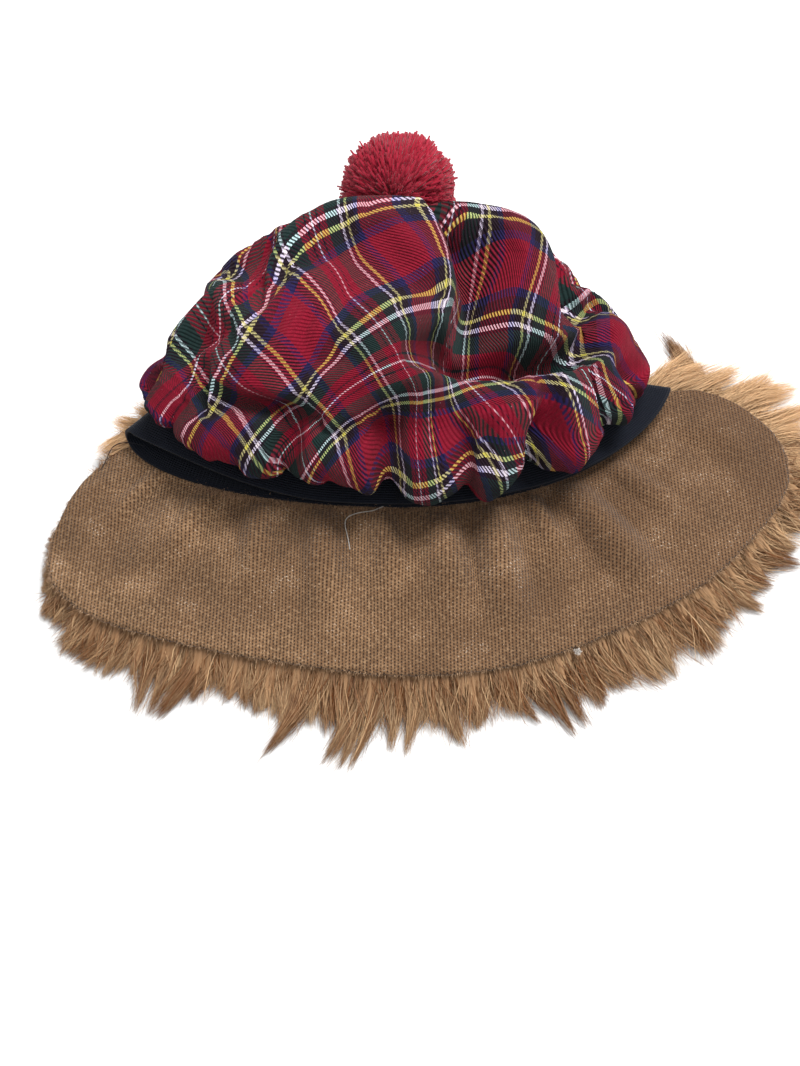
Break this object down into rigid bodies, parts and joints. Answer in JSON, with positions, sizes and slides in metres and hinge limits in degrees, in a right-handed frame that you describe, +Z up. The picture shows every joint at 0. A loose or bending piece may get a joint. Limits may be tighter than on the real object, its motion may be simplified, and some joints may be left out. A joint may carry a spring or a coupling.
{
  "type": "tartan costume hat with false hair",
  "caption": "Soft tartan bonnet lying on its back, gathered into a ribbed elastic headband, with a yarn pompom and a crescent of shaggy false hair on a knitted backing.",
  "frame": {"origin": "middle of the footprint, on the surface that the hat lies on", "axes": "+X along the headband towards its right end as seen from the hair, +Y from the hair towards the pompom, +Z up from the surface"},
  "size_m": [0.3648, 0.3218, 0.0884],
  "materials": {
    "flannel": "brushed tartan twill, matte",
    "elastic": "ribbed, matte",
    "knit": "open knit, matte",
    "fur": "shaggy pile, soft sheen",
    "yarn": "cut yarn, matte"
  },
  "bodies": {
    "root": {"crown": "flannel", "headband": "elastic", "hair_backing": "knit", "hair_pile": "fur", "pompom": "yarn"}
  },
  "joints": []
}
